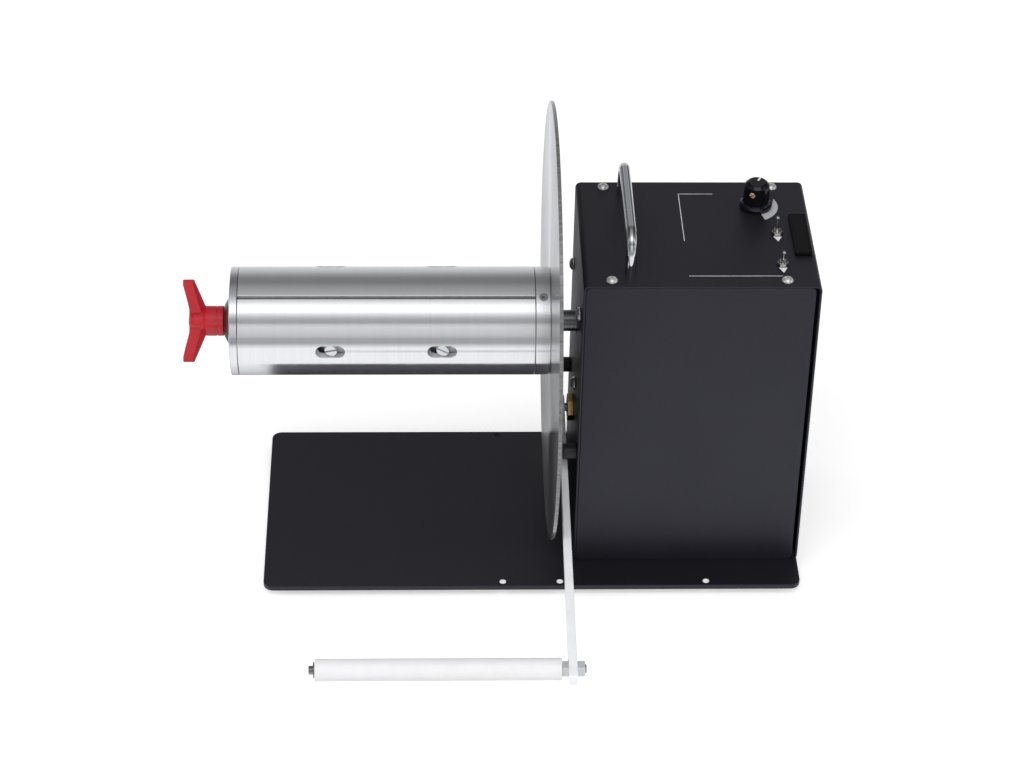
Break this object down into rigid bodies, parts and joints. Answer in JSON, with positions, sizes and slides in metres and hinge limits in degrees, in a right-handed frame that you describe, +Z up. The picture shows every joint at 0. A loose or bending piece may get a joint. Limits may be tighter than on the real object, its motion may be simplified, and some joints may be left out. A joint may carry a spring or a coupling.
{
  "type": "powered label unwinder",
  "caption": "Desktop label unwinder: a drive box on a base plate turns an expanding core chuck behind a flange disc, and a sprung dancer arm with a guide roller sets the web speed.",
  "frame": {"origin": "middle of the base plate's footprint, on the table that the feet stand on", "axes": "+X along the spindle from the wing knob towards the drive box, +Z up, -Y towards the guide roller"},
  "size_m": [0.4342, 0.3876, 0.3255],
  "materials": {
    "black_powder_coat": "fine-textured satin powder coat",
    "black_rubber": "matt",
    "stainless": "bright stainless",
    "chrome_plate": "mirror chrome",
    "gloss_black": "gloss",
    "polished_aluminium": "polished, fine turning lines",
    "satin_aluminium": "satin",
    "steel": "bright turned steel",
    "black_steel": "blackened",
    "zinc_plate": "pale zinc plate",
    "brass": "plain machined",
    "red_plastic": "moulded, soft gloss",
    "white_plastic": "turned, satin",
    "black_plastic": "moulded",
    "board_laminate": "glass-fibre board",
    "nylon": "moulded"
  },
  "bodies": {
    "frame": {"base_plate": "black_powder_coat", "rubber_feet": "black_rubber", "base_screws": "stainless", "housing_wrap": "black_powder_coat", "front_panel": "black_powder_coat", "rear_panel": "black_powder_coat", "top_screws": "stainless", "carry_handle": "chrome_plate", "handle_screws": "stainless", "blank_badge": "gloss_black", "bearing_housing": "satin_aluminium", "bearing_screws": "stainless", "bearing_outer_rings": "steel", "bearing_balls": "steel", "motor_bracket": "steel", "gear_motor": "steel", "motor_screws": "stainless", "drive_belt": "black_rubber", "control_board": "board_laminate", "board_standoffs": "nylon", "pot_body": "black_plastic", "toggle_bodies": "black_plastic", "panel_nuts": "brass", "dc_inlet": "black_plastic", "pivot_bush": "brass", "pivot_nut": "brass", "arm_sensor": "black_plastic", "stop_posts": "black_rubber"},
    "spindle": {"spindle": "steel", "bearing_inner_rings": "steel", "spindle_pulley": "satin_aluminium", "flange_disc": "polished_aluminium", "chuck_rear_ring": "polished_aluminium", "ring_set_screw": "black_steel", "mandrel": "satin_aluminium", "chuck_cap": "polished_aluminium"},
    "wing_knob": {"wing_knob": "red_plastic", "draw_screw": "steel"},
    "expander": {"expander": "satin_aluminium", "draw_nut": "steel", "cross_pins": "steel", "segment_screws": "zinc_plate"},
    "chuck_segment_1": {"chuck_segment_1": "polished_aluminium"},
    "chuck_segment_2": {"chuck_segment_2": "polished_aluminium"},
    "chuck_segment_3": {"chuck_segment_3": "polished_aluminium"},
    "motor_shaft": {"motor_shaft": "steel", "motor_pulley": "satin_aluminium"},
    "dancer_arm": {"dancer_arm": "satin_aluminium", "pivot_shaft": "steel", "return_spring": "steel", "roller_axle": "steel", "axle_nuts": "steel", "axle_clip": "steel"},
    "guide_roller": {"guide_roller": "white_plastic"},
    "torque_knob": {"torque_knob": "gloss_black", "knob_set_screw": "brass", "pot_shaft": "steel"},
    "toggle_lever_1": {"toggle_lever_1": "steel"},
    "toggle_lever_2": {"toggle_lever_2": "steel"}
  },
  "joints": [
    {"name": "spindle_spin", "type": "hinge", "parent": "frame", "child": "spindle", "pos_m": [0, 0.003, 0.1725], "axis": [1, 0, 0], "continuous": true},
    {"name": "motor_spin", "type": "hinge", "parent": "frame", "child": "motor_shaft", "pos_m": [0, 0.003, 0.052], "axis": [1, 0, 0], "continuous": true},
    {"name": "wing_knob_turn", "type": "hinge", "parent": "spindle", "child": "wing_knob", "pos_m": [0, 0.003, 0.1725], "axis": [1, 0, 0], "range_deg": [-450, 450]},
    {"name": "expander_slide", "type": "slide", "parent": "spindle", "child": "expander", "axis": [-1, 0, 0], "range_m": [-0.005, 0.005]},
    {"name": "segment_1_slide", "type": "slide", "parent": "spindle", "child": "chuck_segment_1", "axis": [0, -1, 0], "range_m": [-0.00105, 0.00105]},
    {"name": "segment_2_slide", "type": "slide", "parent": "spindle", "child": "chuck_segment_2", "axis": [0, 0.5, 0.866], "range_m": [-0.00105, 0.00105]},
    {"name": "segment_3_slide", "type": "slide", "parent": "spindle", "child": "chuck_segment_3", "axis": [0, 0.5, -0.866], "range_m": [-0.00105, 0.00105]},
    {"name": "dancer_arm_swing", "type": "hinge", "parent": "frame", "child": "dancer_arm", "pos_m": [0.0214, 0.003, 0.097], "axis": [1, 0, 0], "range_deg": [0, 10], "stiffness_Nm_per_rad": 0.8, "springref_deg": -28.65},
    {"name": "guide_roller_spin", "type": "hinge", "parent": "dancer_arm", "child": "guide_roller", "pos_m": [-0.0676, -0.22277, 0.04906], "axis": [1, 0, 0], "continuous": true},
    {"name": "torque_knob_turn", "type": "hinge", "parent": "frame", "child": "torque_knob", "pos_m": [0.154, 0.037, 0.2455], "axis": [0, 0, 1], "range_deg": [-270, 30]},
    {"name": "toggle_1_tip", "type": "hinge", "parent": "frame", "child": "toggle_lever_1", "pos_m": [0.1655, 0.0025, 0.246], "axis": [1, 0, 0], "range_deg": [0, 26]},
    {"name": "toggle_2_tip", "type": "hinge", "parent": "frame", "child": "toggle_lever_2", "pos_m": [0.1655, -0.0355, 0.246], "axis": [1, 0, 0], "range_deg": [-26, 0]}
  ],
  "couplings": [
    {"joint": "motor_spin", "follows": "spindle_spin", "ratio": 3},
    {"joint": "wing_knob_turn", "follows": "expander_slide", "rad_per_m": 1570.8},
    {"joint": "segment_1_slide", "follows": "expander_slide", "ratio": 0.21},
    {"joint": "segment_2_slide", "follows": "expander_slide", "ratio": 0.21},
    {"joint": "segment_3_slide", "follows": "expander_slide", "ratio": 0.21}
  ]
}
